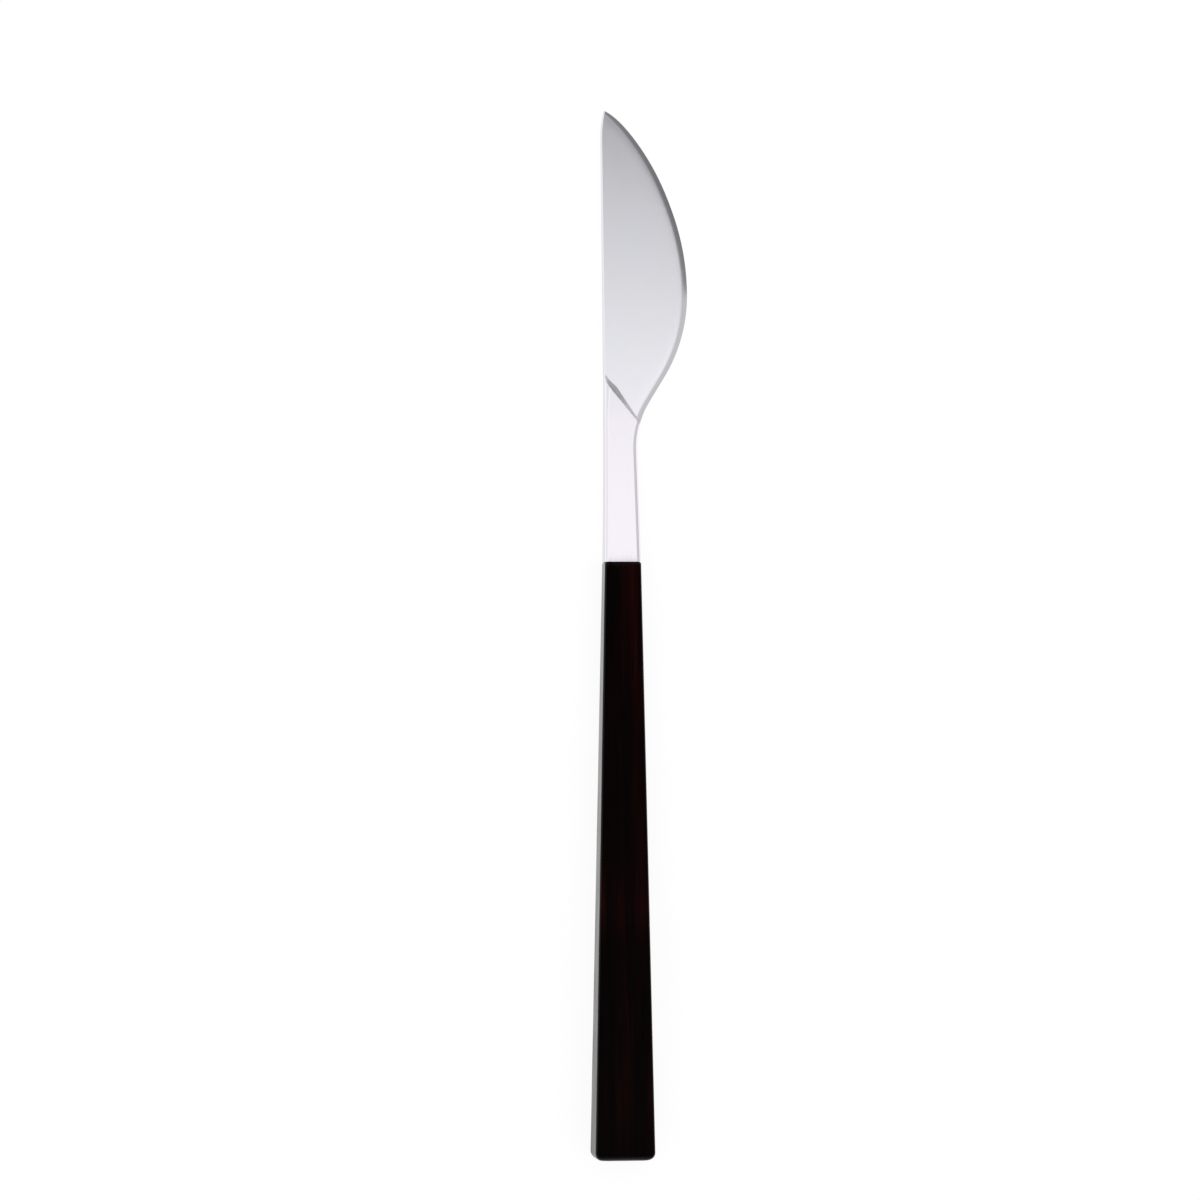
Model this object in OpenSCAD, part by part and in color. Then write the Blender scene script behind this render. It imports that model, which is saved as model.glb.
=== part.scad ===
// Dinner knife: a steel blade with a slim neck, forged in one with a tang that is cemented
// into a tapered hardwood handle.
//
// Every piece is drawn on the axis of the knife: +Y runs from the joint of wood and steel to
// the tip, +X points to the cutting edge, and Z = 0 is the middle of the thickness. The pieces
// are then laid on the flat underside of the handle and the neck, which becomes Z = 0, with the
// origin under the middle of the knife.

/* [Handle] */
// Length of the wood
handle_length = 122.4; // [100:0.1:145]
// Width of the handle at the butt
butt_width = 12.4; // [9:0.1:15]
// Thickness of the handle at the butt
butt_thickness = 9.2; // [7:0.1:11]
// Rounding of the rim and the corners of the butt
butt_round = 1.7; // [0.5:0.1:2.2]
// Width of both wood and steel where they meet
joint_width = 7.5; // [6.9:0.1:9]
// Width of the bevel along the rim of the wood at the joint
joint_bevel = 0.3; // [0.1:0.05:0.6]
// Rounding of the long edges of handle and neck
edge_round = 0.7; // [0.3:0.05:1]

/* [Neck] */
// Length of the neck, from the wood to the waist
neck_length = 26; // [20:0.5:34]
// Width of the neck at the waist
waist_width = 6.5; // [5.5:0.1:7.2]
// Thickness of the neck at the waist
waist_thickness = 4.6; // [4:0.1:6]
// Distance by which the back lies further in at the waist than at the joint
waist_hollow = 0.2; // [0:0.05:0.6]

/* [Blade outline] */
// Length of the blade, from the waist to the tip
blade_length = 66.6; // [54:0.1:84]
// Width of the blade at the belly
blade_width = 17.5; // [15:0.1:21]
// Distance from the waist to the belly, where the blade is widest
belly_distance = 28.8; // [27:0.1:38]
// Radius of the edge between the belly and the heel
belly_radius = 32.1; // [24:0.1:40]
// Angle of the edge to the axis where the heel is steepest
heel_angle = 31.5; // [26:0.5:37]
// Radius of the hollow curve between the heel and the neck
heel_radius = 18; // [9:0.5:24]
// Angle at which the back leans out from the waist to the tip
back_lean = 0.6; // [0.3:0.05:2.5]
// Length over which the back curves down to the tip
tip_curve_length = 6.5; // [5:0.5:20]
// Distance that the back curves down by
tip_drop = 1.2; // [0.2:0.05:3]

/* [Blade grind] */
// Thickness of the back at the shoulder
back_thickness = 2.4; // [1.6:0.1:3]
// Thickness of the back at the tip
tip_thickness = 1.2; // [0.9:0.05:1.6]
// Thickness of the blade at the belly, before the edge is ground
belly_thickness = 0.85; // [0.75:0.05:1.2]
// Width of the bevel ground along the edge
bevel_width = 0.95; // [0.5:0.05:1.1]
// Angle of the bevel to the face of the blade
bevel_angle = 17; // [10:0.5:18]
// Rounding along the back of the blade
back_round = 0.25; // [0.1:0.05:0.4]
// Distance from the waist to the shoulder, along the back
shoulder_distance = 10.3; // [8:0.1:18]
// Angle of the shoulder line to the axis
shoulder_angle = 42; // [30:0.5:50]
// Radius of the hollow foot of the shoulder at the back
shoulder_round = 2.2; // [1.5:0.1:3]
// Radius of the hollow foot of the shoulder at the edge
shoulder_end_round = 0.5; // [0.3:0.1:1]

/* [Tang] */
// Length of the tang inside the handle
tang_length = 74; // [50:1:95]
// Width of the tang at the joint
tang_width = 2.8; // [2.2:0.1:3]
// Thickness of the tang at the joint
tang_thickness = 2.4; // [2:0.1:2.6]
// Width and thickness of the tang at its end
tang_end = 1.6; // [1:0.1:2]
// Least thickness of the cement, at the corners of the tang
cement_gap = 0.1; // [0.05:0.05:0.2]
// Space between the end of the tang and the end of the straight bore
bore_end_gap = 3; // [1:0.5:8]
// Angle of the drill point at the end of the bore
drill_point = 118; // [90:1:140]
// Number of notches cut in each side of the tang for the cement to grip
notch_count = 4; // [0:1:5]
// Distance from the joint to the first notch
notch_start = 14; // [8:1:20]
// Depth of a notch
notch_depth = 0.35; // [0.1:0.05:0.5]

/* [Hidden] */
$fn = 180;
// Room that a cut takes beyond the surface it starts from
spare = 2;
// Room that a shallow cut takes beyond the outline
fine_spare = 0.1;
// Amount by which neighbouring curves of an outline cross, so that they never only touch
seam = 0.006;
// Ratio that makes a rounding meet its faces at a slight angle
round_open = 1.15;
// Ratio that makes a hollow foot meet its faces at a slight angle
foot_open = 1.01;

// A length to the nearest micron
function micron(length) = round(length * 1000) / 1000;
// Angle by which a hollow curve runs on past its ends, until it has left the outline
function overrun(radius) = asin(sqrt(8 * seam / radius));
// Angle by which a curve runs on past the tip, until it has left the bar
function tip_overrun(radius) = atan(2 * spare / radius);

// Thickness tapers evenly from the butt to the waist, and on to the shoulder
shoulder_y = neck_length + shoulder_distance;
face_slope = (butt_thickness - waist_thickness) / 2 / (handle_length + neck_length);
face_angle = atan(face_slope);
joint_thickness = waist_thickness + 2 * face_slope * neck_length;
taper_end = shoulder_y + spare;
taper_end_thickness = waist_thickness - 2 * face_slope * (taper_end - neck_length);

// Back of the neck and the blade, seen from above
tip_y = neck_length + blade_length;
waist_back = joint_width / 2 - waist_hollow;
function back_x(y) = -waist_back - tan(back_lean) * (y - neck_length);
back_up = [-sin(back_lean), cos(back_lean)];
back_in = [cos(back_lean), sin(back_lean)];
tip = [back_x(tip_y) + tip_drop, tip_y];
tip_curve_y = tip_y - tip_curve_length;
tip_curve_start = [back_x(tip_curve_y), tip_curve_y];
tip_run = (tip - tip_curve_start) * back_up;
tip_fall = (tip - tip_curve_start) * back_in;
tip_radius = (tip_run ^ 2 + tip_fall ^ 2) / (2 * tip_fall);
back_start = [back_x(shoulder_y), shoulder_y];
neck_back_run = (back_start - [-joint_width / 2, 0]) * back_up;
neck_back_bow = (back_start - [-joint_width / 2, 0]) * back_in;
neck_back_radius = (neck_back_run ^ 2 + neck_back_bow ^ 2) / (2 * neck_back_bow);

// Edge from the tip to the neck: upper belly, lower belly, straight heel, hollow, side of the neck
belly_y = neck_length + belly_distance;
belly_x = micron(back_x(belly_y) + blade_width);
upper_rise = tip_y - belly_y;
upper_run = belly_x - tip.x;
upper_radius = micron((upper_run ^ 2 + upper_rise ^ 2) / (2 * upper_run));
upper_turn = atan2(upper_rise, tip.x - belly_x + upper_radius);
lower_centre = [belly_x - belly_radius, belly_y];
neck_lean = atan((joint_width / 2 - waist_width + waist_back) / neck_length);
heel_out = [cos(heel_angle), -sin(heel_angle)];
heel_down = [-sin(heel_angle), -cos(heel_angle)];
neck_out = [cos(neck_lean), sin(neck_lean)];
neck_line = joint_width / 2 * neck_out.x;
hollow_shift = heel_radius * (heel_out - neck_out);
heel_start = lower_centre + belly_radius * heel_out;
heel_straight = (neck_line - (heel_start + hollow_shift) * neck_out) / (heel_down * neck_out);
neck_end = heel_start + heel_straight * heel_down + hollow_shift;

// Flat face of the blade: it falls from the shoulder at the back to the tip and to the belly
to_tip = tip - back_start;
to_belly = [belly_x, belly_y] - back_start;
tip_sink = (back_thickness - tip_thickness) / 2;
belly_sink = (back_thickness - belly_thickness) / 2;
face_area = to_tip.x * to_belly.y - to_tip.y * to_belly.x;
fall_across = atan((tip_sink * to_belly.y - belly_sink * to_tip.y) / face_area);
fall_along = atan((belly_sink * to_tip.x - tip_sink * to_belly.x) / face_area * cos(fall_across));

// Hollow foot of the shoulder: a cone between wall and face that narrows towards its point,
// which lies on the shoulder line beyond the edge, and that runs on past the back
shoulder_length = waist_width / sin(shoulder_angle);
foot_slope = (shoulder_round - shoulder_end_round) / shoulder_length;
foot_point = shoulder_round / foot_slope;
foot_length = foot_point + joint_width;
foot_lift = asin(foot_slope / norm([foot_slope, foot_slope, 1]));

// Where the whole knife lies
knife_left = min(-butt_width / 2, back_x(tip_curve_y));
knife_middle = [(knife_left + belly_x) / 2, (tip_y - handle_length) / 2];

// Lays a piece on the underside of the handle, with the origin under the middle of the knife
module laid_flat() {
  translate([-knife_middle.x, -knife_middle.y * cos(face_angle), joint_thickness / 2 * cos(face_angle)])
    rotate([-face_angle, 0, 0])
      children();
}

// A cut for the upper side of the knife, repeated on the underside
module both_sides() {
  children();
  mirror([0, 0, 1]) children();
}

// What is left of a corner at the origin when it is rounded
module corner_waste(radius) {
  middle = radius * round_open;
  difference() {
    translate([-middle, -middle]) square(middle + spare);
    translate([-middle, -middle]) circle(norm([middle, middle - radius]));
  }
}

// Sweeps a profile straight down from a point: its +X points out at the given angle, its +Y up
module sweep_straight(start, out_angle, length) {
  translate([start.x, start.y, 0])
    rotate([0, 0, out_angle])
      rotate([90, 0, 0])
        linear_extrude(length) children();
}

// Sweeps a profile along the edge of the belly
module along_belly() {
  translate([belly_x - upper_radius, belly_y, 0])
    rotate_extrude(angle = upper_turn + tip_overrun(upper_radius))
      translate([upper_radius, 0]) children();
  translate([lower_centre.x, lower_centre.y, 0])
    rotate_extrude(angle = -heel_angle)
      translate([belly_radius, 0]) children();
  sweep_straight(heel_start - seam * heel_out - spare * heel_down, -heel_angle, heel_straight + spare)
    children();
}

// Sweeps a profile round a hollow curve: the curve turns from one outward angle to another
module sweep_hollow(centre, radius, from_angle, to_angle) {
  extra = overrun(radius);
  $fn = ceil(360 / extra);
  translate([centre.x, centre.y, 0])
    rotate([0, 0, 180 + from_angle - extra])
      rotate_extrude(angle = to_angle - from_angle + 2 * extra)
        translate([radius + 2 * seam, 0]) mirror([1, 0]) children();
}

// Sweeps a profile along the hollow curve from the heel into the neck
module along_hollow() {
  sweep_hollow(neck_end + heel_radius * neck_out, heel_radius, -heel_angle, neck_lean) children();
}

// Sweeps a profile along the side of the neck below the edge
module along_neck_side() {
  sweep_straight(neck_end, neck_lean, neck_end.y + spare) children();
}

// Sweeps a profile along the slightly hollow back of the neck
module along_neck_back() {
  turn = asin(neck_back_run / neck_back_radius);
  sweep_hollow(back_start - neck_back_radius * back_in, neck_back_radius,
               180 + back_lean - turn, 180 + back_lean)
    children();
}

// Sweeps a profile along the straight back of the blade
module along_blade_back() {
  sweep_straight(back_start, 180 + back_lean, (tip_curve_start - back_start) * back_up + spare)
    children();
}

// Sweeps a profile along the curve of the back near the tip
module along_tip() {
  turn = asin(tip_run / tip_radius);
  translate([tip_curve_start.x, tip_curve_start.y, 0])
    rotate([0, 0, back_lean])
      translate([tip_radius, 0, 0])
        rotate([0, 0, 180])
          rotate_extrude(angle = -turn - tip_overrun(tip_radius))
            translate([tip_radius + seam, 0]) children();
}

// Stock of the neck and the blade, seen from the side
module bar() {
  joint_half = joint_thickness / 2;
  end_half = taper_end_thickness / 2;
  translate([knife_left - spare, 0, 0])
    rotate([90, 0, 90])
      linear_extrude(belly_x - knife_left + 2 * spare)
        polygon([
          [0, -joint_half],
          [taper_end, -end_half],
          [tip_y + spare, -end_half],
          [tip_y + spare, end_half],
          [taper_end, end_half],
          [0, joint_half]
        ]);
}

// Everything outside the outline of the neck and the blade
module outside_outline() {
  reach = belly_x - knife_left + 2 * spare;
  module wall(width) {
    translate([0, -joint_thickness]) square([width, 2 * joint_thickness]);
  }
  along_belly() wall(reach);
  along_hollow() wall(heel_radius);
  along_neck_side() wall(reach);
  along_neck_back() wall(reach);
  along_blade_back() wall(reach);
  along_tip() wall(reach);
}

// Puts what is drawn over the outline on the flat face of the blade
module on_blade_face() {
  translate([back_start.x, back_start.y, back_thickness / 2])
    rotate([-fall_along, fall_across, 0])
      translate([-back_start.x, -back_start.y, 0])
        children();
}

// Puts what is drawn over the outline on the flat face of the neck
module on_neck_face() {
  translate([0, 0, joint_thickness / 2])
    rotate([-face_angle, 0, 0])
      children();
}

// Steel that stays as the foot of the shoulder: a tapered block with a cone cut out of it
module shoulder_foot() {
  module taper() {
    linear_extrude(2 * joint_thickness, center = true)
      polygon([[-spare, 0], [0, 0], [foot_slope * foot_length, foot_length], [-spare, foot_length]]);
  }
  cone_length = foot_length + 2 * joint_thickness;
  translate([0, -foot_point, 0])
    difference() {
      intersection() {
        taper();
        rotate([0, -90, 0]) taper();
      }
      rotate([foot_lift - 90, 0, -atan(foot_slope)])
        cylinder(h = cone_length, r1 = 0, r2 = cone_length * tan(foot_lift) * foot_open);
    }
}

// Everything beyond the shoulder line and above its hollow foot, moved on by a gap and down by a depth
module beyond_shoulder(gap, depth) {
  translate([back_start.x, back_start.y, 0])
    rotate([0, 0, shoulder_angle])
      translate([gap, 0, -depth])
        difference() {
          translate([0, -tip_y, 0]) cube([2 * tip_y, 2 * tip_y, joint_thickness]);
          shoulder_foot();
        }
}

// Steel that is ground away along the edge
module bevel_waste() {
  slope = tan(bevel_angle);
  rise = joint_thickness / 2;
  drop = (bevel_width + spare) * slope;
  module wedge() {
    polygon([[-bevel_width - rise / slope, rise], [spare, -drop], [spare, rise]]);
  }
  intersection() {
    union() {
      along_belly() wedge();
      along_hollow() wedge();
    }
    beyond_shoulder(0, (bevel_width + fine_spare) * slope);
  }
}

// Steel that is taken off the back of the blade
module back_waste() {
  intersection() {
    union() {
      along_blade_back() corner_waste(back_round);
      along_tip() corner_waste(back_round);
    }
    beyond_shoulder(shoulder_round, back_round * round_open);
  }
}

// Steel that is taken off the long edges of the neck, up to the shoulder
module neck_edge_waste() {
  difference() {
    on_neck_face() {
      along_hollow() corner_waste(edge_round);
      along_neck_side() corner_waste(edge_round);
      along_neck_back() corner_waste(edge_round);
    }
    on_blade_face() beyond_shoulder(0, joint_thickness - fine_spare);
  }
}

// Square tang that narrows to its end, notched on both sides
module tang() {
  module taper(start, end) {
    polygon([
      [-start / 2, spare],
      [-start / 2, 0],
      [-end / 2, -tang_length],
      [end / 2, -tang_length],
      [start / 2, 0],
      [start / 2, spare]
    ]);
  }
  notch_pitch = (tang_length - notch_start) / notch_count;
  difference() {
    intersection() {
      linear_extrude(tang_width, center = true) taper(tang_width, tang_end);
      rotate([0, 90, 0])
        linear_extrude(tang_width + spare, center = true) taper(tang_thickness, tang_end);
    }
    for (notch = [0:1:notch_count - 1], side = [-1, 1]) {
      y = -notch_start - notch * notch_pitch;
      half_width = (tang_width + (tang_width - tang_end) * y / tang_length) / 2;
      translate([side * (half_width + (sqrt(2) - 1) * notch_depth), y, 0])
        rotate([0, 0, 45])
          cube([2 * notch_depth, 2 * notch_depth, tang_width], center = true);
    }
  }
}

// Drilled hole for the tang, with the cone of the drill point at its end
module bore() {
  radius = norm([tang_width, tang_thickness]) / 2 + cement_gap;
  depth = tang_length + bore_end_gap;
  rotate([90, 0, 0])
    rotate_extrude()
      polygon([[0, 0], [radius, 0], [radius, depth], [0, depth + radius / tan(drill_point / 2)]]);
}

// Blade, neck and tang, forged in one piece
module blade() {
  color("silver")
    laid_flat() {
      difference() {
        bar();
        outside_outline();
        both_sides() {
          on_blade_face() {
            beyond_shoulder(0, 0);
            bevel_waste();
            back_waste();
          }
          neck_edge_waste();
        }
      }
      tang();
    }
}

// Tapered handle, seen along one of its pairs of faces
module handle_profile(joint_size, butt_size) {
  rim_half = joint_size / 2 - joint_bevel;
  shoulder_half = joint_size / 2 + (butt_size - joint_size) / 2 * joint_bevel / handle_length;
  difference() {
    polygon([
      [-rim_half, 0],
      [-shoulder_half, -joint_bevel],
      [-butt_size / 2, -handle_length],
      [butt_size / 2, -handle_length],
      [shoulder_half, -joint_bevel],
      [rim_half, 0]
    ]);
    for (side = [0, 1])
      mirror([side, 0])
        translate([butt_size / 2, -handle_length])
          mirror([0, 1]) corner_waste(butt_round);
  }
}

// Wood that is taken off one of the four long edges of the handle
module handle_edge_waste() {
  run = [joint_width - butt_width, 2 * handle_length, joint_thickness - butt_thickness] / 2;
  length = norm(run);
  translate([joint_width, 0, joint_thickness] / 2)
    rotate([asin(run.z / length), 0, -atan2(run.x, run.y)])
      translate([0, spare, 0])
        rotate([90, 0, 0])
          linear_extrude(length + 2 * spare) corner_waste(edge_round);
}

// Handle of one piece of wood, drilled for the tang
module handle() {
  color([0.2, 0.07, 0.05])
    laid_flat()
      difference() {
        intersection() {
          linear_extrude(butt_thickness + spare, center = true) handle_profile(joint_width, butt_width);
          rotate([0, 90, 0])
            linear_extrude(butt_width + spare, center = true)
              handle_profile(joint_thickness, butt_thickness);
        }
        both_sides() {
          handle_edge_waste();
          mirror([1, 0, 0]) handle_edge_waste();
        }
        bore();
      }
}

// Cement that fills the bore around the tang
module tang_cement() {
  color([0.55, 0.5, 0.42])
    laid_flat()
      difference() {
        bore();
        tang();
      }
}

blade();
handle();
tang_cement();
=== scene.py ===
import math
from collections import namedtuple

import bpy
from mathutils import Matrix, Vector


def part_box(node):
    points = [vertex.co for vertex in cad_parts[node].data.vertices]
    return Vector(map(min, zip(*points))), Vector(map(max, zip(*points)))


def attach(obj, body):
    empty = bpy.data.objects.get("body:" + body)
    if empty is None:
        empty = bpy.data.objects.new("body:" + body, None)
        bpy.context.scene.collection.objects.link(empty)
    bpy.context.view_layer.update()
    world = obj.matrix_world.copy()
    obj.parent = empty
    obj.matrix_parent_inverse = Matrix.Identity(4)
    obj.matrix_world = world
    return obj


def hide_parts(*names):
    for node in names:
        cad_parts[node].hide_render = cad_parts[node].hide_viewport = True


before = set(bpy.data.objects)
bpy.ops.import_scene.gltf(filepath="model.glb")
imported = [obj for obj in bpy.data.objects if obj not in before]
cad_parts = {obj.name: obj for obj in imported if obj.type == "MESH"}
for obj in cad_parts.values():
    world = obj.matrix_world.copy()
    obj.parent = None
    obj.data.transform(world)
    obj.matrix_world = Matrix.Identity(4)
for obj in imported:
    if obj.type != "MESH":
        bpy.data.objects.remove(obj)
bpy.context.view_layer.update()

# Sizes of the knife in millimetres, on its own axis, as in the part's source
HANDLE_LENGTH = 122.4
BUTT_WIDTH = 12.4
BUTT_THICKNESS = 9.2
BUTT_ROUND = 1.7
JOINT_WIDTH = 7.5
JOINT_BEVEL = 0.3
EDGE_ROUND = 0.7
NECK_LENGTH = 26.0
WAIST_WIDTH = 6.5
WAIST_THICKNESS = 4.6
WAIST_HOLLOW = 0.2
BLADE_LENGTH = 66.6
BLADE_WIDTH = 17.5
BELLY_DISTANCE = 28.8
BELLY_RADIUS = 32.1
HEEL_ANGLE = math.radians(31.5)
HEEL_RADIUS = 18.0
BACK_LEAN = math.radians(0.6)
BACK_THICKNESS = 2.4
TIP_THICKNESS = 1.2
BELLY_THICKNESS = 0.85
BEVEL_WIDTH = 0.95
BEVEL_SLOPE = math.tan(math.radians(17))
BACK_ROUND = 0.25
SHOULDER_DISTANCE = 10.3
TANG_LENGTH = 74.0
TANG_WIDTH = 2.8
TANG_THICKNESS = 2.4
TANG_END = 1.6
CEMENT_GAP = 0.1
BORE_END_GAP = 3.0
DRILL_POINT = math.radians(118)
NOTCH_COUNT = 4
NOTCH_START = 14.0
NOTCH_DEPTH = 0.35
# The neck's taper goes on past the shoulder by this much
TAPER_SPARE = 2.0
# The middle of a rounding lies this many times its size inside both faces, so its ends meet them at a slant
ROUND_OPEN = 1.15

# Small forms that are finer than in the source, in millimetres: the curve of the back at the tip
TIP_CURVE_LENGTH = 5.5
TIP_DROP = 0.75
# How far the edge stands out from its arc near the tip, and how that starts and fades
TIP_FULLNESS = 1.0
TIP_FULL_LENGTH = 20.0
TIP_FULL_START = 1.2
TIP_FULL_POWER = 1.3
# Rounding of the neck on the side of the edge, and its growth on the side of the back at the shoulder
NECK_EDGE_ROUND = 0.95
RUN_OUT_GROWTH = 0.6
RUN_OUT_LENGTH = 7.0
# Foot of the shoulder: its place, its angle, and its width, which falls from the back to the edge
FOOT_DISTANCE = 11.05
FOOT_ANGLE = math.radians(39.2)
FOOT_WIDTH = 1.5
FOOT_END_WIDTH = 0.55
FOOT_LENGTH = 10.0
# What the width lacks right at the back, and the length in which it gets that
FOOT_START_LOSS = 0.5
FOOT_START_LENGTH = 3.0
# Profile of the foot, and the shifts that it is averaged over to soften its ridge
FOOT_POWER = 1.7
FOOT_SHIFTS = (-0.06, -0.03, 0.0, 0.03, 0.06)
# Softness of the line where the face of the blade meets the bevel
CREASE = 0.2
# Growth of the handle's edge rounding towards the middle of the butt
BUTT_CORNER_GROWTH = 0.6

QUARTER_TURN = math.radians(90)

# Sizes worked out from these
FACE_SLOPE = (BUTT_THICKNESS - WAIST_THICKNESS) / 2 / (HANDLE_LENGTH + NECK_LENGTH)
FACE_ANGLE = math.atan(FACE_SLOPE)
JOINT_HALF = WAIST_THICKNESS / 2 + FACE_SLOPE * NECK_LENGTH
WAIST_BACK = JOINT_WIDTH / 2 - WAIST_HOLLOW

# Places along the knife in the frame, in metres, those of the steel counted back from the tip
HANDLE_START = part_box("handle")[0][1]
HANDLE_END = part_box("handle")[1][1]
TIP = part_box("blade")[1][1]
NECK_TONE_END = TIP - 0.0645
FACE_TONE_START = TIP - 0.0575
FOOT_START = TIP - 0.063
FOOT_END = TIP - 0.053
FOOT_LIMIT = TIP - 0.05

# Facings towards the tip where the foot of the shoulder starts to show, and shows in full
FOOT_FACING = (0.06, 0.16)
# Upward facings where a ground edge starts to turn into a flat face, and is flat
FLAT_FACING = (0.965, 0.99)
GROUND_ROUGHNESS = 0.09


def add(tree, kind, inputs=None, **settings):
    """A node with its settings, and its inputs set to values or linked to sockets."""
    node = tree.nodes.new(kind)
    for key, value in settings.items():
        setattr(node, key, value)
    for key, value in (inputs or {}).items():
        fill(tree, node.inputs[key], value)
    return node


def fill(tree, socket, value):
    """Links a socket to another one, or sets it to a value."""
    if isinstance(value, bpy.types.NodeSocket):
        tree.links.new(value, socket)
    else:
        socket.default_value = value


def bare_material(name):
    """A new material without nodes; returns it and its node tree."""
    mat = bpy.data.materials.new(name)
    mat.use_nodes = True
    mat.node_tree.nodes.clear()
    return mat, mat.node_tree


def material(name):
    """A new material with a Principled shader; returns it, its node tree and the shader."""
    mat, tree = bare_material(name)
    shader = add(tree, "ShaderNodeBsdfPrincipled")
    add(tree, "ShaderNodeOutputMaterial", {"Surface": shader.outputs[0]})
    return mat, tree, shader


def noise(tree, scale, detail=2.0, rough=0.5, offset=(0, 0, 0), distortion=0.0):
    """Noise in the knife's own space, with a scale in cycles per metre along each axis."""
    where = add(tree, "ShaderNodeTexCoord").outputs["Object"]
    place = add(tree, "ShaderNodeMapping", {"Vector": where, "Scale": scale, "Location": offset})
    inputs = {
        "Vector": place.outputs[0],
        "Scale": 1.0,
        "Detail": detail,
        "Roughness": rough,
        "Distortion": distortion,
    }
    return add(tree, "ShaderNodeTexNoise", inputs).outputs["Fac"]


def coordinate(tree, kind, axis):
    """One axis of the place (Object), the facing (Normal) or, in the world, the direction (Generated)."""
    vector = add(tree, "ShaderNodeTexCoord").outputs[kind]
    return add(tree, "ShaderNodeSeparateXYZ", {0: vector}).outputs[axis]


def spread(tree, value, low, high, to_low=0.0, to_high=1.0):
    """A value carried from one range to another, and held inside it."""
    inputs = {"Value": value, "From Min": low, "From Max": high, "To Min": to_low, "To Max": to_high}
    return add(tree, "ShaderNodeMapRange", inputs).outputs[0]


def ramp(tree, value, stops):
    """A colour by stops of a place from 0 to 1 and a colour."""
    node = add(tree, "ShaderNodeValToRGB", {"Fac": value})
    elements = node.color_ramp.elements
    while len(elements) < len(stops):
        elements.new(0.5)
    for element, (place, colour) in zip(elements, stops):
        element.position = place
        element.color = (*colour, 1.0)
    return node.outputs["Color"]


def greys(stops):
    """Stops of a place and a level, as stops of a place and a grey."""
    return [(place, (level, level, level)) for place, level in stops]


def calc(tree, kind, a, b=0.0):
    """Two values put together by a Math node of a kind."""
    return add(tree, "ShaderNodeMath", {0: a, 1: b}, operation=kind).outputs[0]


def mix(tree, share, first, second, kind="RGBA"):
    """A mix of two colours, or of two numbers with the kind FLOAT."""
    node = add(tree, "ShaderNodeMix", data_type=kind)
    for key, value in {"Factor": share, "A": first, "B": second}.items():
        socket = next(s for s in node.inputs if s.name == key and s.enabled)
        fill(tree, socket, value)
    return next(s for s in node.outputs if s.enabled)


def make_steel():
    """Satin steel with fine lines along the knife, a bluish haze, and bright ground edges."""
    mat, tree, shader = material("satin_steel")
    along = coordinate(tree, "Object", "Y")
    lines = noise(tree, (9000, 260, 9000), detail=3, rough=0.6)
    haze = noise(tree, (90, 60, 90), detail=4, rough=0.55)

    face = ramp(tree, haze, [(0.3, (0.885, 0.885, 0.915)), (0.7, (0.89, 0.885, 0.965))])
    neck = ramp(tree, haze, [(0.3, (0.93, 0.89, 0.955)), (0.7, (0.945, 0.905, 0.975))])
    on_blade = spread(tree, along, NECK_TONE_END, FACE_TONE_START)
    tree.links.new(mix(tree, on_blade, neck, face), shader.inputs["Base Color"])
    shader.inputs["Metallic"].default_value = 1.0
    shader.inputs["Specular Tint"].default_value = (0.82, 0.82, 0.84, 1)

    to_tip = spread(tree, coordinate(tree, "Normal", "Y"), *FOOT_FACING)
    foot = calc(tree, "MULTIPLY", to_tip, calc(tree, "LESS_THAN", along, FOOT_LIMIT))
    foot_rough = ramp(tree, spread(tree, along, FOOT_START, FOOT_END), greys([
        (0.0, 1.0), (0.15, 0.9), (0.26, 0.7), (0.36, 0.5), (0.46, 0.36),
        (0.56, 0.32), (0.68, 0.38), (0.78, 0.55), (0.88, 0.85), (1.0, 1.0),
    ]))
    edge_rough = mix(tree, foot, GROUND_ROUGHNESS, foot_rough, "FLOAT")
    line_rough = spread(tree, lines, 0.3, 0.7, 0.12, 0.2)
    haze_rough = spread(tree, haze, 0.3, 0.7, 0.0, 0.04)
    satin = calc(tree, "ADD", line_rough, haze_rough)
    flat = spread(tree, calc(tree, "ABSOLUTE", coordinate(tree, "Normal", "Z")), *FLAT_FACING)
    tree.links.new(mix(tree, flat, edge_rough, satin, "FLOAT"), shader.inputs["Roughness"])
    bump = add(tree, "ShaderNodeBump", {"Height": lines, "Strength": 0.05, "Distance": 0.00002})
    tree.links.new(bump.outputs[0], shader.inputs["Normal"])
    return mat


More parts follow.
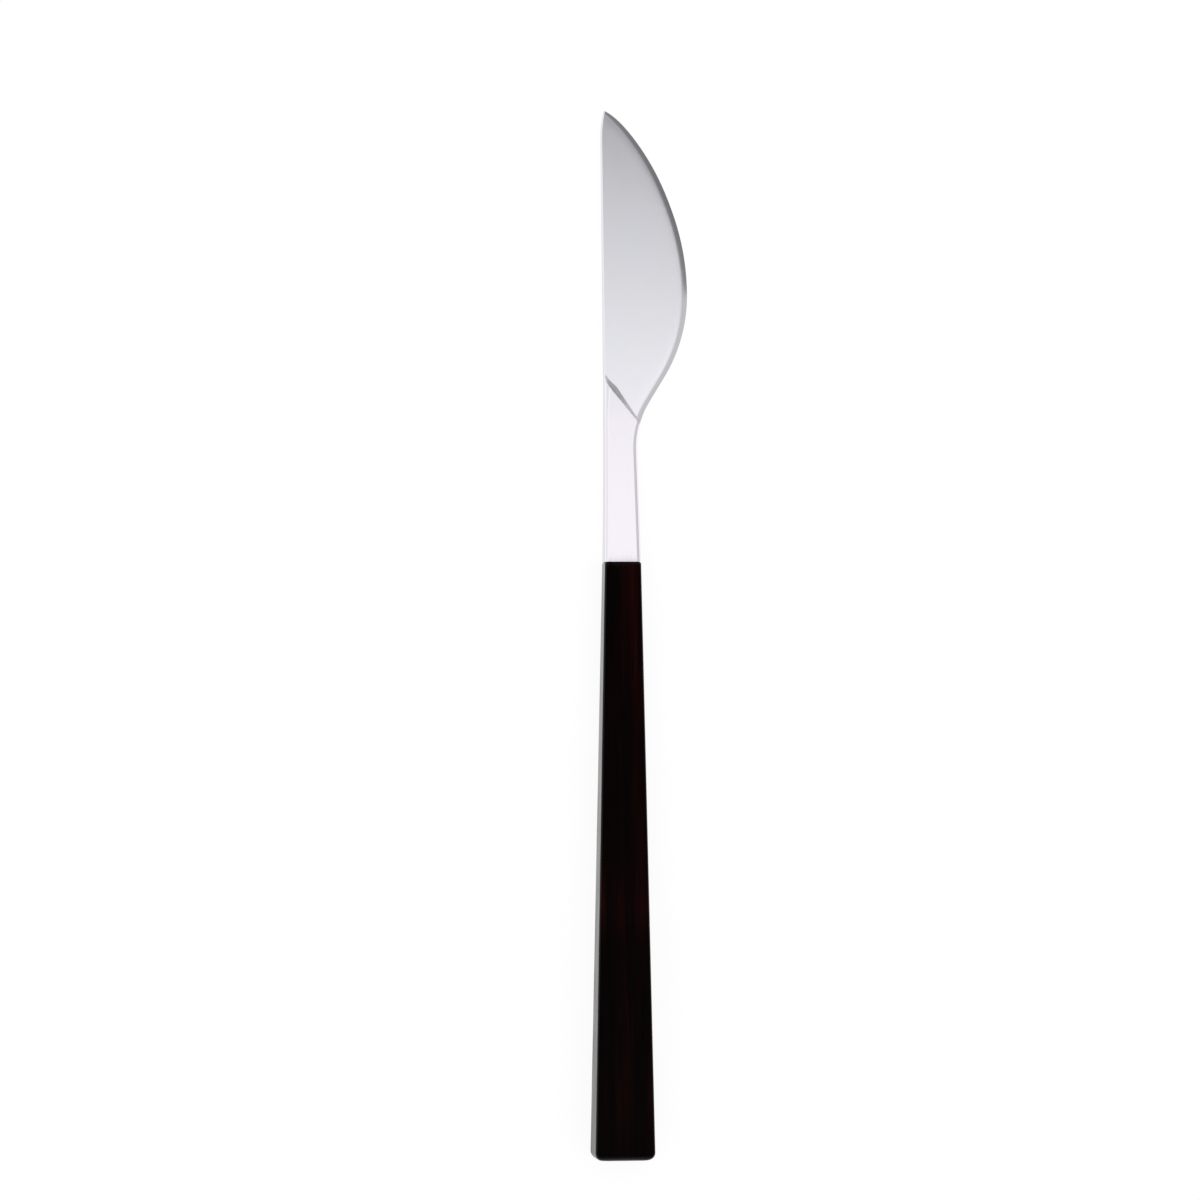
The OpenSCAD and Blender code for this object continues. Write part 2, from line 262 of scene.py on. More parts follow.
def make_rosewood():
    """Dark polished rosewood: black and red-brown streaks along the handle, with fine open pores."""
    mat, tree, shader = material("dark_rosewood")
    along = coordinate(tree, "Object", "Y")
    streak = noise(tree, (420, 10, 300), detail=5, rough=0.6, distortion=0.5)
    figure = noise(tree, (110, 16, 90), detail=3, rough=0.5, offset=(0.3, 0.12, 0.0))
    pores = noise(tree, (3200, 70, 3200), detail=2, rough=0.5)

    warmth = ramp(tree, spread(tree, along, HANDLE_START, HANDLE_END), greys([
        (0.0, 0.1), (0.1, 0.2), (0.18, 0.0), (0.36, 0.0),
        (0.42, 0.6), (0.5, 0.35), (0.75, 0.3), (1.0, 0.75),
    ]))
    grain = calc(tree, "ADD", calc(tree, "MULTIPLY", streak, 0.6), calc(tree, "MULTIPLY", figure, 0.4))
    grain = calc(tree, "ADD", grain, calc(tree, "MULTIPLY", warmth, 0.14))
    wood = ramp(tree, grain, [
        (0.46, (0.0008, 0.0001, 0.0001)),
        (0.56, (0.003, 0.0002, 0.0002)),
        (0.65, (0.0085, 0.0006, 0.0005)),
        (0.74, (0.02, 0.003, 0.002)),
    ])
    open_pore = spread(tree, pores, 0.62, 0.7)
    pore_tone = (0.0006, 0.0001, 0.0001, 1)
    tree.links.new(mix(tree, open_pore, wood, pore_tone), shader.inputs["Base Color"])

    wear = spread(tree, along, HANDLE_START, HANDLE_END, 0.18, 0.0)
    rough = calc(tree, "ADD", spread(tree, pores, 0.45, 0.72, 0.06, 0.22), wear)
    tree.links.new(rough, shader.inputs["Roughness"])
    shader.inputs["Specular IOR Level"].default_value = 0.14
    dents = {"Height": open_pore, "Strength": 0.25, "Distance": 0.00004}
    bump = add(tree, "ShaderNodeBump", dents, invert=True)
    tree.links.new(bump.outputs[0], shader.inputs["Normal"])
    return mat


def make_cement():
    """Dull, grainy, sand-coloured cement."""
    mat, tree, shader = material("tang_cement")
    grains = noise(tree, (1500, 1500, 1500), detail=4)
    tone = ramp(tree, grains, [(0.35, (0.22, 0.19, 0.15)), (0.65, (0.36, 0.32, 0.25))])
    tree.links.new(tone, shader.inputs["Base Color"])
    shader.inputs["Roughness"].default_value = 0.85
    return mat


# Halvings of the span in which the edge is looked for
HALVINGS = 40


class Outline:
    """Plan of the neck and the blade: where the back and the edge lie at a distance y from the joint."""

    def __init__(self):
        self.tip_y = NECK_LENGTH + BLADE_LENGTH
        self.tip_curve_y = self.tip_y - TIP_CURVE_LENGTH
        self.shoulder_y = NECK_LENGTH + SHOULDER_DISTANCE
        self.belly_y = NECK_LENGTH + BELLY_DISTANCE
        self.tip = Vector((self.straight_back(self.tip_y) + TIP_DROP, self.tip_y))
        self.back_start = Vector((self.straight_back(self.shoulder_y), self.shoulder_y))
        self.belly_x = self.straight_back(self.belly_y) + BLADE_WIDTH
        self.set_back()
        self.set_belly()
        self.set_heel()

    def set_back(self):
        """The arcs at the tip and along the neck that run into the straight back without a kink."""
        back_up = Vector((-math.sin(BACK_LEAN), math.cos(BACK_LEAN)))
        back_in = Vector((math.cos(BACK_LEAN), math.sin(BACK_LEAN)))
        curve_start = Vector((self.straight_back(self.tip_curve_y), self.tip_curve_y))
        to_tip = self.tip - curve_start
        self.tip_radius = radius_after(to_tip.dot(back_up), to_tip.dot(back_in))
        self.tip_centre = curve_start + self.tip_radius * back_in
        from_joint = self.back_start - Vector((-JOINT_WIDTH / 2, 0))
        self.neck_back_radius = radius_after(from_joint.dot(back_up), from_joint.dot(back_in))
        self.neck_back_centre = self.back_start - self.neck_back_radius * back_in

    def set_belly(self):
        """The arcs of the edge above and below the widest place."""
        self.upper_radius = radius_after(self.tip_y - self.belly_y, self.belly_x - self.tip.x)
        self.upper_centre = Vector((self.belly_x - self.upper_radius, self.belly_y))
        self.lower_centre = Vector((self.belly_x - BELLY_RADIUS, self.belly_y))

    def set_heel(self):
        """The straight of the heel, and the hollow between it and the straight edge of the neck."""
        heel_out = Vector((math.cos(HEEL_ANGLE), -math.sin(HEEL_ANGLE)))
        heel_down = Vector((-math.sin(HEEL_ANGLE), -math.cos(HEEL_ANGLE)))
        neck_lean = math.atan((JOINT_WIDTH / 2 - WAIST_WIDTH + WAIST_BACK) / NECK_LENGTH)
        self.neck_out = Vector((math.cos(neck_lean), math.sin(neck_lean)))
        self.neck_line = JOINT_WIDTH / 2 * self.neck_out.x
        shift = HEEL_RADIUS * (heel_out - self.neck_out)
        self.heel_start = self.lower_centre + BELLY_RADIUS * heel_out
        to_neck = self.neck_line - (self.heel_start + shift).dot(self.neck_out)
        self.heel_end = self.heel_start + to_neck / heel_down.dot(self.neck_out) * heel_down
        self.neck_end = self.heel_end + shift
        self.hollow_centre = self.neck_end + HEEL_RADIUS * self.neck_out

    def straight_back(self, y):
        """Place of the blade's straight back, and of the line that goes on from it."""
        return -WAIST_BACK - math.tan(BACK_LEAN) * (y - NECK_LENGTH)

    def back(self, y):
        """Place of the back."""
        if y < self.shoulder_y:
            return on_circle(self.neck_back_centre, self.neck_back_radius, y, 1)
        if y < self.tip_curve_y:
            return self.straight_back(y)
        return on_circle(self.tip_centre, self.tip_radius, y, -1)

    def edge(self, y):
        """Place of the edge."""
        if y < self.neck_end.y:
            return (self.neck_line - y * self.neck_out.y) / self.neck_out.x
        if y < self.heel_end.y:
            return on_circle(self.hollow_centre, HEEL_RADIUS, y, -1)
        if y < self.heel_start.y:
            return self.heel_start.x + (y - self.heel_start.y) * math.tan(HEEL_ANGLE)
        if y < self.belly_y:
            return on_circle(self.lower_centre, BELLY_RADIUS, y, 1)
        return on_circle(self.upper_centre, self.upper_radius, y, 1) + self.fullness(self.tip_y - y)

    def fullness(self, from_tip):
        """Distance by which the edge stands out from its arc near the tip."""
        share = max(0.0, 1 - from_tip / TIP_FULL_LENGTH)
        start = 1 - math.exp(-max(0.0, from_tip) / TIP_FULL_START)
        return TIP_FULLNESS * share ** TIP_FULL_POWER * start

    def edge_along(self, left, start, skew):
        """Place of the edge on a line that starts at the back and falls towards the joint by a skew."""
        low, high = left, left + 2 * BLADE_WIDTH
        for _ in range(HALVINGS):
            middle = (low + high) / 2
            if self.edge(start - skew * (middle - left)) > middle:
                low = middle
            else:
                high = middle
        return low


def radius_after(run, fall):
    """Radius of an arc that leaves a line without a kink and is off it by a fall after a run."""
    return (run ** 2 + fall ** 2) / (2 * fall)


def on_circle(centre, radius, y, side):
    """Place of a circle at y, on its right with the side 1 or its left with -1."""
    return centre.x + side * math.sqrt(max(0.0, radius ** 2 - (y - centre.y) ** 2))


def slope_of(curve, y, step=0.01):
    """Slope of a curve at y."""
    return (curve(y + step) - curve(y - step)) / (2 * step)


def soft_min(a, b, width):
    """The lower of two values, rounded where they cross."""
    return (a + b - math.sqrt((a - b) ** 2 + width ** 2)) / 2


def step_between(value, low, high):
    """A smooth step from 0 to 1."""
    share = min(1.0, max(0.0, (value - low) / (high - low)))
    return share * share * (3 - 2 * share)


def rounded_off(radius, distance):
    """Height that a rounding takes off at a distance from the corner."""
    if distance >= radius:
        return 0.0
    middle = ROUND_OPEN * radius
    reach = math.hypot(middle, middle - radius)
    if distance < 0:
        return radius - distance * middle / (middle - radius)
    return middle - math.sqrt(reach ** 2 - (middle - distance) ** 2)


def foot_share(place):
    """Height of the foot of the shoulder, from 1 at its ridge (0) to 0 where it runs into the face (1)."""
    shares = [min(1.0, max(0.0, 1 - place - shift)) ** FOOT_POWER for shift in FOOT_SHIFTS]
    return sum(shares) / len(shares)


class Grind:
    """Half the thickness of the neck and the blade at a place of the plan."""

    def __init__(self, outline):
        self.outline = outline
        start = outline.back_start
        to_tip = outline.tip - start
        to_belly = Vector((outline.belly_x, outline.belly_y)) - start
        tip_sink = (BACK_THICKNESS - TIP_THICKNESS) / 2
        belly_sink = (BACK_THICKNESS - BELLY_THICKNESS) / 2
        area = to_tip.x * to_belly.y - to_tip.y * to_belly.x
        self.fall_x = (tip_sink * to_belly.y - belly_sink * to_tip.y) / area
        self.fall_y = (belly_sink * to_tip.x - tip_sink * to_belly.x) / area
        foot_y = NECK_LENGTH + FOOT_DISTANCE
        self.foot_start = Vector((outline.straight_back(foot_y), foot_y))

    def half(self, x, y):
        """Half the thickness: the blade, with the neck on top of it as far as the foot of the shoulder."""
        outline = self.outline
        from_back = (x - outline.back(y)) * math.cos(math.atan(slope_of(outline.back, y)))
        from_edge = (outline.edge(y) - x) * math.cos(math.atan(slope_of(outline.edge, y)))
        neck = self.neck(y, from_back, from_edge)
        blade = self.blade(x, y, from_back, from_edge)
        return blade + (neck - blade) * self.foot(x, y)

    def neck(self, y, from_back, from_edge):
        """Half the thickness of the neck, with its rounded edges."""
        shoulder_y = self.outline.shoulder_y
        run_out = step_between(y, shoulder_y - RUN_OUT_LENGTH, shoulder_y)
        off_back = rounded_off(EDGE_ROUND + RUN_OUT_GROWTH * run_out, from_back)
        off_edge = rounded_off(NECK_EDGE_ROUND, from_edge)
        return JOINT_HALF - FACE_SLOPE * min(y, shoulder_y + TAPER_SPARE) - (off_back + off_edge)

    def blade(self, x, y, from_back, from_edge):
        """Half the thickness of the blade, with its bevel and its rounded back."""
        start = self.outline.back_start
        face = BACK_THICKNESS / 2 - (self.fall_x * (x - start.x) + self.fall_y * (y - start.y))
        bevel = soft_min(0.0, (from_edge - BEVEL_WIDTH) * BEVEL_SLOPE, CREASE)
        return face + bevel - rounded_off(BACK_ROUND, from_back)

    def foot(self, x, y):
        """Share of the neck's height over the blade's, which falls from 1 to 0 across the foot."""
        dx, dy = x - self.foot_start.x, y - self.foot_start.y
        across = dx * math.cos(FOOT_ANGLE) + dy * math.sin(FOOT_ANGLE)
        along = dx * math.sin(FOOT_ANGLE) - dy * math.cos(FOOT_ANGLE)
        width = FOOT_WIDTH + (FOOT_END_WIDTH - FOOT_WIDTH) * along / FOOT_LENGTH
        width -= FOOT_START_LOSS * (1 - step_between(along, 0, FOOT_START_LENGTH))
        return foot_share(across / max(FOOT_END_WIDTH, width))

    def facing(self, x, y, step=0.01):
        """Facing of the upper side."""
        slope_x = (self.half(x + step, y) - self.half(x - step, y)) / (2 * step)
        slope_y = (self.half(x, y + step) - self.half(x, y - step)) / (2 * step)
        return Vector((-slope_x, -slope_y, 1)).normalized()


# Middle of the knife's box on its own axis, which lies at the origin of the frame
KNIFE_MIDDLE_X = (Outline().belly_x - BUTT_WIDTH / 2) / 2
KNIFE_MIDDLE_Y = (NECK_LENGTH + BLADE_LENGTH - HANDLE_LENGTH) / 2
MILLIMETRES_PER_METRE = 1000


def laid_flat(point):
    """From the axis of the knife, in millimetres, to its place on the table, in metres."""
    x, y, z = point
    sin, cos = math.sin(FACE_ANGLE), math.cos(FACE_ANGLE)
    return Vector((
        x - KNIFE_MIDDLE_X,
        (y - KNIFE_MIDDLE_Y) * cos + z * sin,
        -y * sin + (z + JOINT_HALF) * cos,
    )) / MILLIMETRES_PER_METRE


def turned_flat(facing):
    """A facing turned in the same way."""
    x, y, z = facing
    sin, cos = math.sin(FACE_ANGLE), math.cos(FACE_ANGLE)
    return Vector((x, y * cos + z * sin, z * cos - y * sin))


class Skin:
    """Faces with a facing of their own at each corner."""

    def __init__(self):
        self.points, self.faces, self.facings = [], [], []

    def point(self, x, y, z):
        """Number of a new point, given along the knife's own axes in millimetres."""
        self.points.append(laid_flat((x, y, z)))
        return len(self.points) - 1

    def face(self, corners, facings):
        """A face of points that run counter-clockwise seen from outside."""
        self.faces.append(corners)
        self.facings.extend(turned_flat(facing) for facing in facings)

    def make(self, name, mat):
        """The object of these faces."""
        mesh = bpy.data.meshes.new(name)
        mesh.from_pydata(self.points, [], self.faces)
        mesh.shade_smooth()
        mesh.normals_split_custom_set(self.facings)
        mesh.materials.append(mat)
        obj = bpy.data.objects.new(name, mesh)
        bpy.context.scene.collection.objects.link(obj)
        return obj


# Spans along the steel, in millimetres from the joint, with their number of stations, dense at the foot
STATION_SPANS = ((0.0, 36.5, 40), (36.5, 41.5, 100), (41.5, 54.0, 25), (54.0, 84.0, 50))
# The span from there to the tip, with stations that crowd towards the tip
TIP_SPAN_START = 84.0
TIP_SPAN_COUNT = 40
TIP_SPAN_POWER = 2.0
# Spans in which the stations turn to lie along the foot of the shoulder, and back again
TURN_IN = (14.0, 35.0)
TURN_OUT = (42.0, 54.0)
# Lengths from the foot on in which the back's rounding and the bevel take over from the neck's roundings
BACK_CHANGE = 3.0
BEVEL_CHANGE = 1.0
# Points across a station, as shares of the rounding or the bevel at its ends, and evenly between them
BORDER_STEPS = 9
ARC_SHARES = [1 - math.cos(QUARTER_TURN * i / BORDER_STEPS) for i in range(BORDER_STEPS + 1)]
EVEN_SHARES = [i / BORDER_STEPS for i in range(BORDER_STEPS + 1)]
PAST_BACK_ROUND = [1.3, 1.7]
PAST_BEVEL = [1.12, 1.27, 1.46, 1.7, 2.0]
MIDDLE_COUNT = 26
# Most of a station's width that the points at its ends may take up
BORDER_LIMIT = 0.8
# Distance from the tip at which its thickness is taken
TIP_SAMPLE = 0.02

# A station's points on the upper and the lower side, their facings, and those of its two ends
Row = namedtuple("Row", "top bottom ups downs left right")


def steps(start, end, count, power=1.0):
    """Places from a start up to an end, which is left out."""
    return [end - (end - start) * (1 - i / count) ** power for i in range(count)]


def station(outline, foot_y, start):
    """Places on a line across the steel that starts at the back, and the slopes of back and edge there."""
    left = outline.back(start)
    turned = step_between(start, *TURN_IN) * (1 - step_between(start, *TURN_OUT))
    skew = turned / math.tan(FOOT_ANGLE)
    right = outline.edge_along(left, start, skew)
    back_slope = slope_of(outline.back, start)
    edge_slope = slope_of(outline.edge, start - skew * (right - left))

    on_blade = step_between(start, foot_y, foot_y + BACK_CHANGE)
    on_bevel = step_between(start, foot_y, foot_y + BEVEL_CHANGE)
    back_size = EDGE_ROUND + (BACK_ROUND - EDGE_ROUND) * on_blade
    edge_size = NECK_EDGE_ROUND + (BEVEL_WIDTH - NECK_EDGE_ROUND) * on_bevel
    edge_shares = [arc + (even - arc) * on_bevel for arc, even in zip(ARC_SHARES, EVEN_SHARES)]
    stretch = math.hypot(1, edge_slope) / (1 + skew * edge_slope)
    from_back = [back_size * share for share in ARC_SHARES + PAST_BACK_ROUND]
    from_edge = [edge_size * share * stretch for share in edge_shares + PAST_BEVEL]

    scale = min(1.0, BORDER_LIMIT * (right - left) / (from_back[-1] + from_edge[-1]))
    lefts = [left + distance * scale for distance in from_back]
    rights = [right - distance * scale for distance in reversed(from_edge)]
    gap = (rights[0] - lefts[-1]) / (MIDDLE_COUNT + 1)
    middles = [lefts[-1] + gap * i for i in range(1, MIDDLE_COUNT + 1)]
    places = [(x, start - skew * (x - left)) for x in lefts + middles + rights]
    return places, back_slope, edge_slope


def add_row(skin, grind, places, back_slope, edge_slope):
    """The points of a station on the upper and the lower side, with their facings."""
    heights = [grind.half(x, y) for x, y in places]
    ups = [grind.facing(x, y) for x, y in places]
    return Row(
        top=[skin.point(x, y, height) for (x, y), height in zip(places, heights)],
        bottom=[skin.point(x, y, -height) for (x, y), height in zip(places, heights)],
        ups=ups,
        downs=[Vector((up.x, up.y, -up.z)) for up in ups],
        left=Vector((-1, back_slope, 0)).normalized(),
        right=Vector((1, -edge_slope, 0)).normalized(),
    )


def join_rows(skin, near, far):
    """Faces between two stations, the second nearer to the tip."""
    for i in range(len(near.top) - 1):
        k = i + 1
        skin.face(
            [near.top[i], near.top[k], far.top[k], far.top[i]],
            [near.ups[i], near.ups[k], far.ups[k], far.ups[i]],
        )
        skin.face(
            [near.bottom[i], far.bottom[i], far.bottom[k], near.bottom[k]],
            [near.downs[i], far.downs[i], far.downs[k], near.downs[k]],
        )
    skin.face(
        [near.top[0], far.top[0], far.bottom[0], near.bottom[0]],
        [near.left, far.left, far.left, near.left],
    )
    skin.face(
        [near.top[-1], near.bottom[-1], far.bottom[-1], far.top[-1]],
        [near.right, near.right, far.right, far.right],
    )


def add_tip(skin, outline, grind, last):
    """Faces from the last station to the tip, which is a short upright line."""
    half = grind.half(outline.tip.x, outline.tip_y - TIP_SAMPLE)
    top = skin.point(outline.tip.x, outline.tip_y, half)
    bottom = skin.point(outline.tip.x, outline.tip_y, -half)
    for i in range(len(last.top) - 1):
        k = i + 1
        skin.face([last.top[i], last.top[k], top], [last.ups[i], last.ups[k], last.ups[i]])
        skin.face([last.bottom[k], last.bottom[i], bottom], [last.downs[k], last.downs[i], last.downs[i]])
    skin.face([last.top[0], top, bottom, last.bottom[0]], [last.left] * 4)
    skin.face([last.top[-1], last.bottom[-1], bottom, top], [last.right] * 4)


def add_tang(skin, first):
    """The tang inside the handle, a tapered bar with notches, on the end of the neck."""
    rings = [(0.0, 0.0)]
    pitch = (TANG_LENGTH - NOTCH_START) / NOTCH_COUNT
    for notch in range(NOTCH_COUNT):
        middle = -NOTCH_START - notch * pitch
        rings += [(middle + NOTCH_DEPTH, 0.0), (middle, NOTCH_DEPTH), (middle - NOTCH_DEPTH, 0.0)]
    rings.append((-TANG_LENGTH, 0.0))
    loops = []
    for y, cut in rings:
        share = -y / TANG_LENGTH
        w = (TANG_WIDTH + (TANG_END - TANG_WIDTH) * share) / 2 - cut
        t = (TANG_THICKNESS + (TANG_END - TANG_THICKNESS) * share) / 2
        loops.append([skin.point(x, y, z) for x, z in ((-w, -t), (w, -t), (w, t), (-w, t))])
    sides = (Vector((0, 0, -1)), Vector((1, 0, 0)), Vector((0, 0, 1)), Vector((-1, 0, 0)))
    for near, far in zip(loops, loops[1:]):
        for i, side in enumerate(sides):
            k = (i + 1) % len(sides)
            skin.face([near[i], near[k], far[k], far[i]], [side] * 4)
    low_left, low_right, high_right, high_left = loops[0]
    for corners in (
        loops[-1],
        [high_left, high_right] + first.top[::-1],
        first.bottom + [low_right, low_left],
        [first.top[0], first.bottom[0], low_left, high_left],
        [high_right, low_right, first.bottom[-1], first.top[-1]],
    ):
        skin.face(corners, [Vector((0, -1, 0))] * len(corners))


def make_blade(mat):
    """Blade, neck and tang, with fine roundings, a smooth foot of the shoulder and an even bevel."""
    outline = Outline()
    grind = Grind(outline)
    skin = Skin()
    starts = [start for span in STATION_SPANS for start in steps(*span)]
    starts += steps(TIP_SPAN_START, outline.tip_y, TIP_SPAN_COUNT, TIP_SPAN_POWER)
    rows = [add_row(skin, grind, *station(outline, grind.foot_start.y, start)) for start in starts]
    for near, far in zip(rows, rows[1:]):
        join_rows(skin, near, far)
    add_tip(skin, outline, grind, rows[-1])
    add_tang(skin, rows[0])

    piece = skin.make("forged_blade", mat)
    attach(piece, "root")
    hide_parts("blade")


# Steps round each corner of the handle's section, and round the rim of the butt
CORNER_STEPS = 8
RIM_STEPS = 12


def join_rings(skin, near, far):
    """Faces between two rings of points and facings, seen from outside if the second is nearer the butt."""
    (near_ring, near_facings), (far_ring, far_facings) = near, far
    count = len(near_ring)
    for i in range(count):
        k = (i + 1) % count
        skin.face(
            [near_ring[i], near_ring[k], far_ring[k], far_ring[i]],
            [near_facings[i], near_facings[k], far_facings[k], far_facings[i]],
        )


def add_bore(skin, front):
    """The front of the handle around the bore, the bore, and the point that the drill leaves."""
    count = len(front)
    radius = math.hypot(TANG_WIDTH, TANG_THICKNESS) / 2 + CEMENT_GAP
    depth = TANG_LENGTH + BORE_END_GAP
    circle = []
    for i in range(count):
        turn = 2 * math.pi * i / count
        circle.append((math.cos(turn), math.sin(turn)))
    mouth = [skin.point(radius * x, 0.0, radius * z) for x, z in circle]
    end = [skin.point(radius * x, -depth, radius * z) for x, z in circle]
    inward = [Vector((-x, 0, -z)) for x, z in circle]
    ahead = [Vector((0, 1, 0))] * count
    join_rings(skin, (mouth, ahead), (front, ahead))
    join_rings(skin, (end, inward), (mouth, inward))
    point = skin.point(0, -depth - radius / math.tan(DRILL_POINT / 2), 0)
    for i in range(count):
        k = (i + 1) % count
        skin.face([end[k], end[i], point], [inward[k], inward[i], inward[i]])


def make_handle(mat):
    """Handle of one piece of wood, with soft long edges and a rounded butt, drilled for the tang."""
    skin = Skin()
    taper = Vector(((BUTT_WIDTH - JOINT_WIDTH) / 2, BUTT_THICKNESS / 2 - JOINT_HALF)) / HANDLE_LENGTH
    turns = []
    for quarter, (side_x, side_z) in enumerate(((1, 1), (-1, 1), (-1, -1), (1, -1))):
        for i in range(CORNER_STEPS + 1):
            turn = QUARTER_TURN * (quarter + i / CORNER_STEPS)
            turns.append((side_x, side_z, math.cos(turn), math.sin(turn)))

    def ring(y, inset, corner):
        """Points of a rounded rectangle that lies inside the tapered block by an inset."""
        w = JOINT_WIDTH / 2 - taper.x * y - inset - corner
        h = JOINT_HALF - taper.y * y - inset - corner
        return [
            skin.point(side_x * w + corner * cos, y, side_z * h + corner * sin)
            for side_x, side_z, cos, sin in turns
        ]

    def tilted(tilt):
        """Facings round a ring, turned by a tilt from the handle's sides towards the tip."""
        flat, rise = math.cos(tilt), math.sin(tilt)
        facings = []
        for _, _, cos, sin in turns:
            lean = taper.x * abs(cos) + taper.y * abs(sin)
            facings.append(Vector((cos * flat, lean * flat + rise, sin * flat)))
        return facings

    front = ring(0.0, JOINT_BEVEL, EDGE_ROUND - JOINT_BEVEL / 2)
    bevel_end = ring(-JOINT_BEVEL, 0.0, EDGE_ROUND)
    bevel = tilted(math.radians(45))
    join_rings(skin, (front, bevel), (bevel_end, bevel))
    last = bevel_end, tilted(0.0)
    rim_start = BUTT_ROUND - HANDLE_LENGTH
    for i in range(RIM_STEPS + 1):
        turn = QUARTER_TURN * i / RIM_STEPS
        inset = BUTT_ROUND * (1 - math.cos(turn))
        corner = EDGE_ROUND + BUTT_CORNER_GROWTH * (1 - math.cos(turn))
        following = ring(rim_start - BUTT_ROUND * math.sin(turn), inset, corner), tilted(-turn)
        join_rings(skin, last, following)
        last = following
    skin.face(last[0], [Vector((0, -1, 0))] * len(turns))
    add_bore(skin, front)

    piece = skin.make("wood_handle", mat)
    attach(piece, "root")
    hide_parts("handle")


# Stage, in metres: the table lies a hair's breadth under the knife
TABLE_SIZE = 6
TABLE_GAP = 0.00002
TABLE_GLOW = 1.05
# Share of the glow in the table, where it is seen and not just lit
TABLE_GLOW_SHARE = 0.85
# Height of the large cards, and the width over which their borders fade
CARD_HEIGHT = 0.3
CARD_FADE = 0.05
# The second card lies just over the first
CARD_GAP = 0.001
# Height and fade of the card close over the handle
FLAG_HEIGHT = 0.016
FLAG_FADE = 0.0008


def plane(name, width, length, centre, mat):
    """A level stage plane around its centre."""
    mesh = bpy.data.meshes.new(name)
    x, y = width / 2, length / 2
    mesh.from_pydata([(-x, -y, 0), (x, -y, 0), (x, y, 0), (-x, y, 0)], [], [(0, 1, 2, 3)])
    mesh.materials.append(mat)
    obj = bpy.data.objects.new(name, mesh)
    obj.location = centre
    bpy.context.scene.collection.objects.link(obj)
    return obj


def shown_off_gloss(tree):
    """1 for rays that see the surroundings off a polished face or through glass."""
    path = add(tree, "ShaderNodeLightPath").outputs
    return calc(tree, "MAXIMUM", path["Is Glossy Ray"], path["Is Transmission Ray"])


def shown_to_camera(tree):
    """1 for rays that come straight from the camera."""
    return add(tree, "ShaderNodeLightPath").outputs["Is Camera Ray"]


def make_table():
    """A white table that keeps a soft shadow."""
    mat, tree = bare_material("white_table")
    paint = add(tree, "ShaderNodeBsdfDiffuse", {"Color": (0.9, 0.9, 0.9, 1)})
    glow = add(tree, "ShaderNodeEmission", {"Color": (1, 1, 1, 1), "Strength": TABLE_GLOW})
    seen = calc(tree, "MAXIMUM", shown_to_camera(tree), shown_off_gloss(tree))
    share = calc(tree, "MULTIPLY", seen, TABLE_GLOW_SHARE)
    surface = add(tree, "ShaderNodeMixShader", {0: share, 1: paint.outputs[0], 2: glow.outputs[0]})
    add(tree, "ShaderNodeOutputMaterial", {"Surface": surface.outputs[0]})
    plane("table", TABLE_SIZE, TABLE_SIZE, (0, 0, -TABLE_GAP), mat)


def make_card(name, x_range, y_range, stops, height=CARD_HEIGHT, fade=CARD_FADE):
    """A card over the knife, seen only in its reflections: greys by stops along y, and soft borders."""
    width, length = x_range[1] - x_range[0], y_range[1] - y_range[0]
    mat, tree = bare_material(name)
    across, along = (coordinate(tree, "Object", axis) for axis in "XY")
    share = spread(tree, along, -length / 2, length / 2)
    levels = greys([((y - y_range[0]) / length, level) for y, level in stops])
    glow = add(tree, "ShaderNodeEmission", {"Color": ramp(tree, share, levels), "Strength": 1.0})
    fades = [
        spread(tree, calc(tree, "ABSOLUTE", place), size / 2 - fade, size / 2, 1.0, 0.0)
        for place, size in ((across, width), (along, length))
    ]
    clear = add(tree, "ShaderNodeBsdfTransparent")
    cover = calc(tree, "MULTIPLY", *fades)
    surface = add(tree, "ShaderNodeMixShader", {0: cover, 1: clear.outputs[0], 2: glow.outputs[0]})
    add(tree, "ShaderNodeOutputMaterial", {"Surface": surface.outputs[0]})
    card = plane(name, width, length, (sum(x_range) / 2, sum(y_range) / 2, height), mat)
    card.visible_camera = False
    card.visible_diffuse = False
    card.visible_shadow = False


def make_cards():
    """The cards that the blade's face, its bevel and the top of the handle reflect."""
    make_card("card_over_blade", x_range=(-0.06, 0.17), y_range=(-0.1, 0.7), stops=[
        (0.065, 1.0), (0.078, 0.935), (0.09, 0.85), (0.106, 0.765), (0.121, 0.67),
        (0.135, 0.58), (0.15, 0.36), (0.2, 0.4), (0.35, 0.6), (0.6, 0.7),
    ])
    make_card("card_beside_blade", x_range=(0.1, 0.46), y_range=(-0.15, 0.45), stops=[
        (-0.1, 0.59), (0.108, 0.57), (0.114, 0.26), (0.15, 0.21), (0.2, 0.18), (0.3, 0.22),
    ], height=CARD_HEIGHT + CARD_GAP)
    make_card("card_over_handle", x_range=(-0.022, 0.025), y_range=(-0.12, 0.0158), stops=[
        (-0.1, 0.08), (0.0, 0.08),
    ], height=FLAG_HEIGHT, fade=FLAG_FADE)


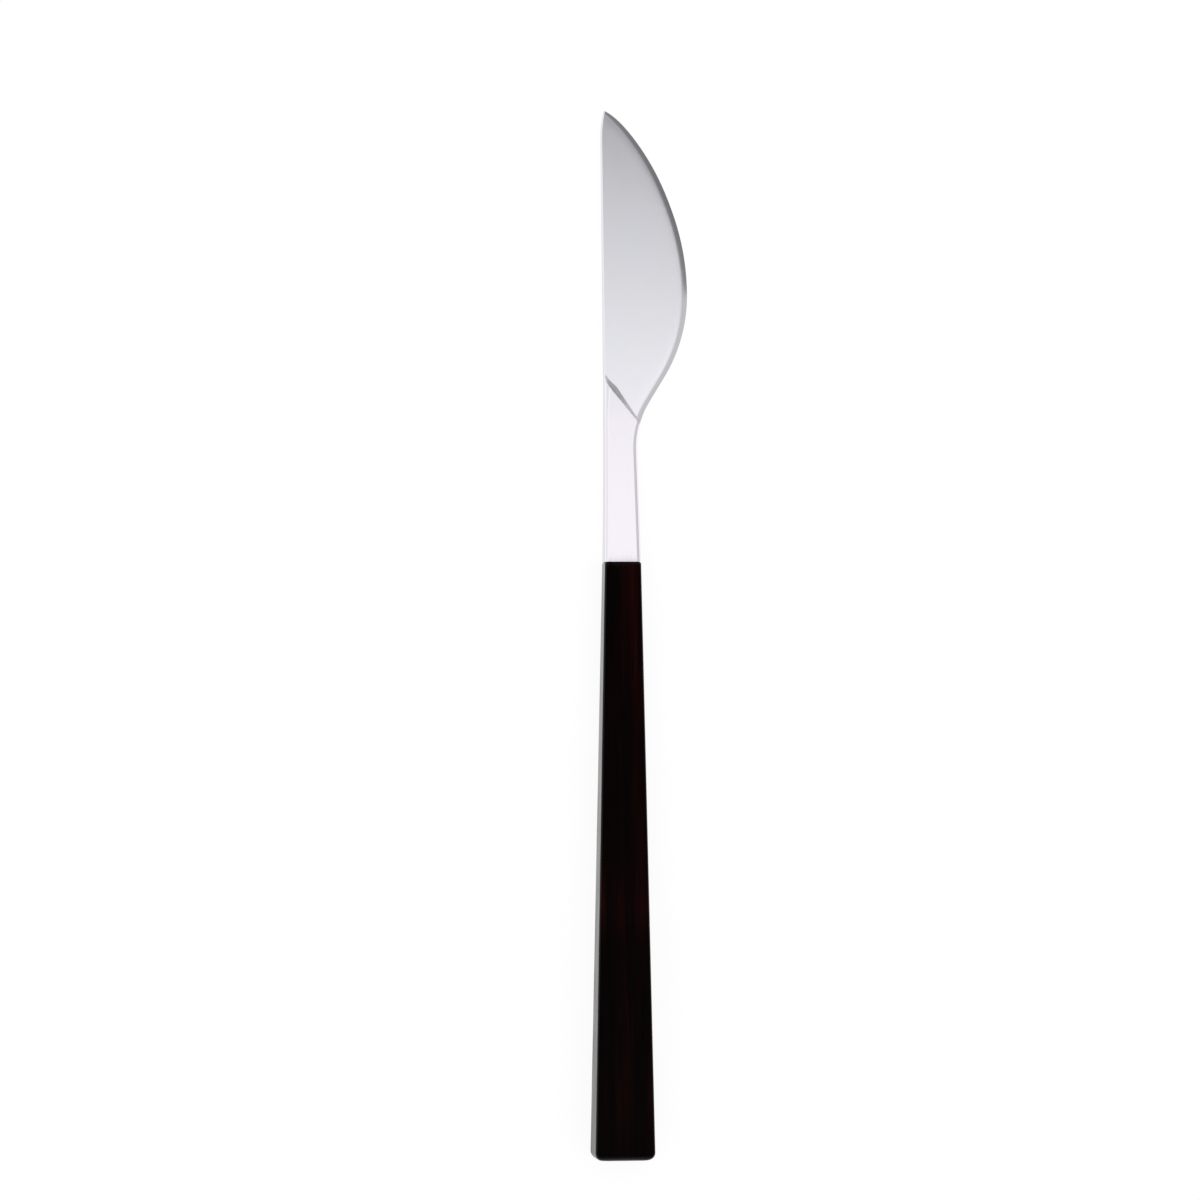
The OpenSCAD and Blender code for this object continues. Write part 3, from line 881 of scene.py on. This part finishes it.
def make_world():
    """A white studio, which polished faces see as bright overhead and on the left, and else as grey."""
    world = bpy.data.worlds.new("studio")
    bpy.context.scene.world = world
    world.use_nodes = True
    tree = world.node_tree
    tree.nodes.clear()
    height = coordinate(tree, "Generated", "Z")
    studio = ramp(tree, height, greys([(0.0, 0.42), (0.3, 0.55), (0.6, 0.8), (0.85, 1.0)]))
    window = spread(tree, coordinate(tree, "Generated", "X"), -0.1, -0.6, 0.0, 0.85)
    studio = calc(tree, "MAXIMUM", studio, window)
    # The foot of the shoulder faces a darker stretch of the horizon
    direction = add(tree, "ShaderNodeTexCoord").outputs["Generated"]
    across_foot = (math.cos(FOOT_ANGLE), math.sin(FOOT_ANGLE), 0)
    ahead = add(tree, "ShaderNodeVectorMath", {0: direction, 1: across_foot}, operation="DOT_PRODUCT")
    darker = spread(tree, ahead.outputs["Value"], 0.85, 0.97, 1.0, 0.46)
    studio = calc(tree, "MULTIPLY", studio, darker)
    level = mix(tree, shown_off_gloss(tree), (0.9, 0.9, 0.9, 1), studio)
    level = mix(tree, shown_to_camera(tree), level, (1, 1, 1, 1))
    sky = add(tree, "ShaderNodeBackground", {"Color": level, "Strength": 1.0})
    add(tree, "ShaderNodeOutputWorld", {"Surface": sky.outputs[0]})


# Camera, in metres: its slant, its distance, the width of the picture, and the place in its middle
TILT = math.radians(7.5)
DISTANCE = 1.2
FRAME_WIDTH = 0.2459
TARGET = Vector((-0.0082, 0.0071, 0.0027))
SENSOR_WIDTH = 36


def make_camera():
    """A camera over the knife, slanted to show a little of its left side."""
    camera = bpy.data.cameras.new("camera")
    camera.sensor_width = SENSOR_WIDTH
    camera.lens = SENSOR_WIDTH * DISTANCE / FRAME_WIDTH
    camera.clip_start = 0.01
    obj = bpy.data.objects.new("camera", camera)
    obj.location = TARGET + DISTANCE * Vector((-math.sin(TILT), 0, math.cos(TILT)))
    obj.rotation_euler = (0, -TILT, 0)
    bpy.context.scene.collection.objects.link(obj)
    bpy.context.scene.camera = obj


make_blade(make_steel())
make_handle(make_rosewood())
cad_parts["tang_cement"].material_slots[0].material = make_cement()
make_table()
make_cards()
make_world()
make_camera()
bpy.context.scene.view_settings.view_transform = "Standard"
